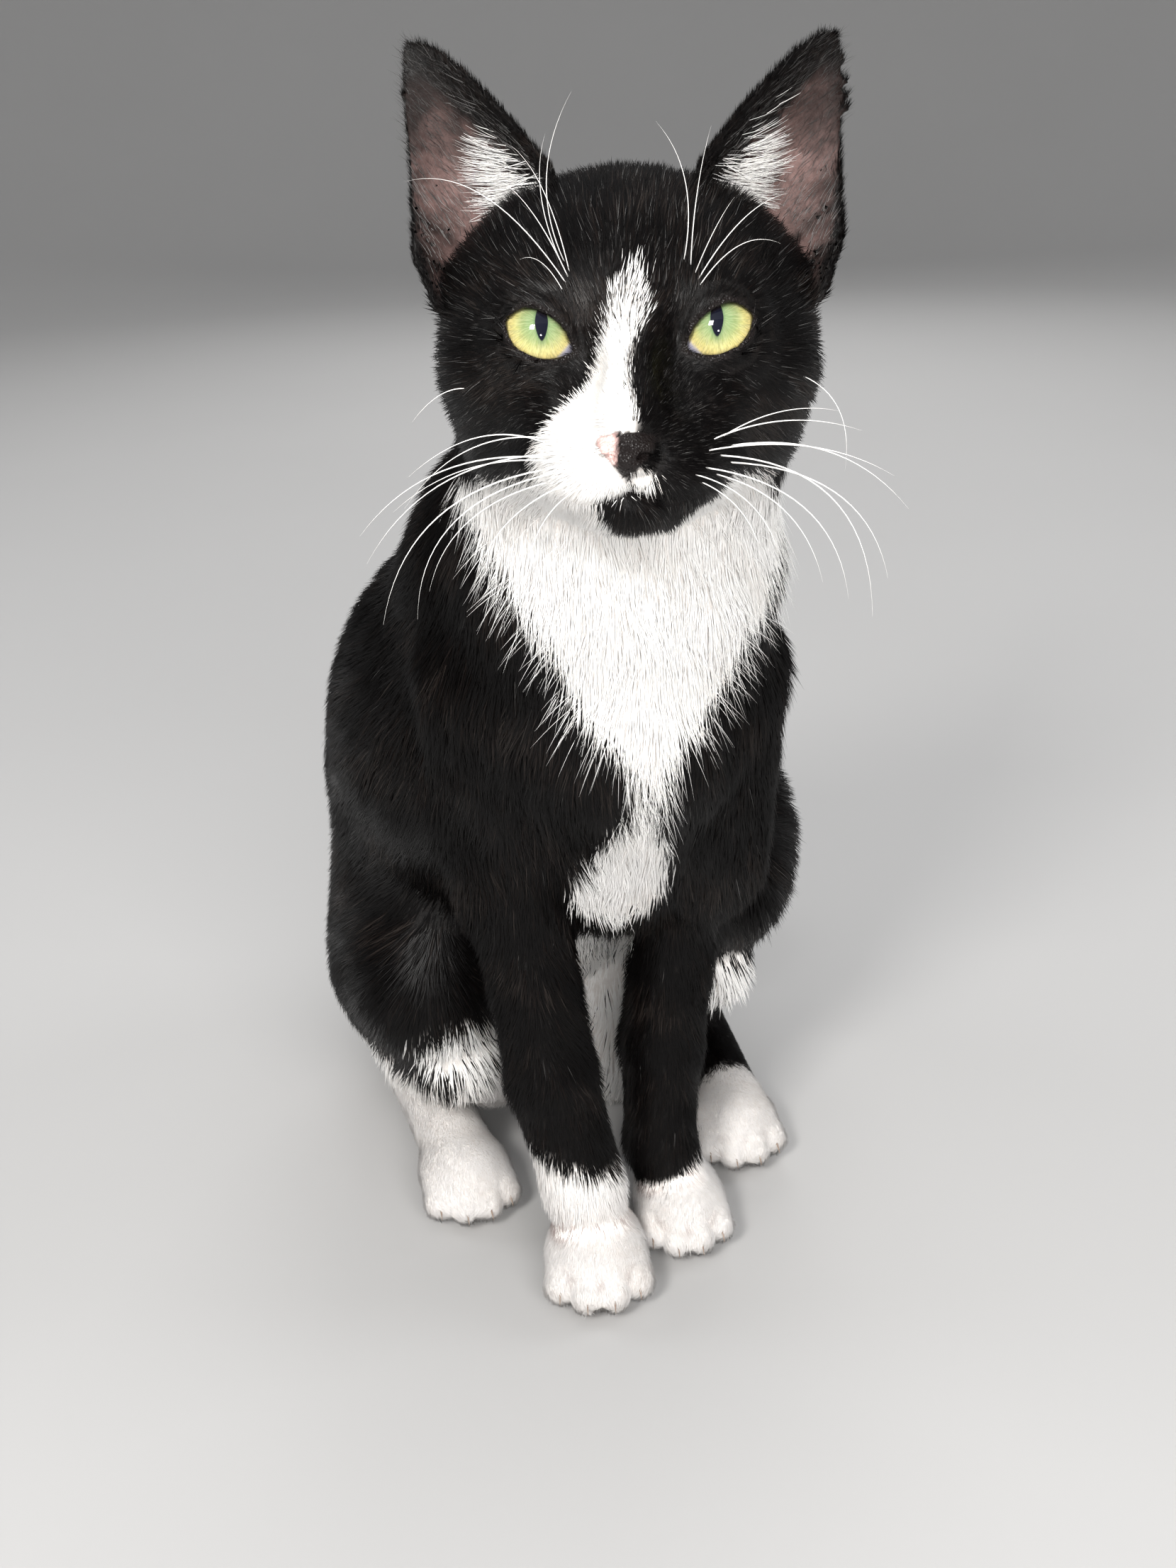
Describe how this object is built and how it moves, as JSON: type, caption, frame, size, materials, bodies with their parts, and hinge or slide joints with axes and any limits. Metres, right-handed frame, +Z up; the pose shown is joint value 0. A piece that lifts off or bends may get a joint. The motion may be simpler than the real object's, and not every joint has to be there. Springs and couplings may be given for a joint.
{
  "type": "sitting cat figure",
  "caption": "Life-size still model of a short-haired black and white cat sitting upright, forelegs together in front and tail laid round behind.",
  "frame": {"origin": "centre of the cat's bounding box, on the floor it sits on", "axes": "+Z up; the cat faces -Y, so -Y is its front and +X is its own left side"},
  "size_m": [0.1832, 0.391, 0.4096],
  "materials": {
    "black_coat": "short sleek fur, near black with a brown cast",
    "white_coat": "short white fur, slightly warm",
    "nose_leather": "damp nose leather, part pink and part black",
    "eye": "wet yellow-green eye with a narrow upright pupil"
  },
  "bodies": {
    "root": {"ear_left": "black_coat", "ear_right": "black_coat", "eye_left": "eye", "eye_right": "eye", "foreleg_left": "black_coat", "foreleg_right": "black_coat", "forepaw_left": "white_coat", "forepaw_right": "white_coat", "head": "black_coat", "hindfoot_left": "white_coat", "hindfoot_right": "white_coat", "hindleg_left": "black_coat", "hindleg_right": "black_coat", "lower_jaw": "black_coat", "neck": "white_coat", "nose": "nose_leather", "tail_base": "black_coat", "tail_middle": "black_coat", "tail_tip": "black_coat", "trunk": "black_coat"}
  },
  "joints": []
}
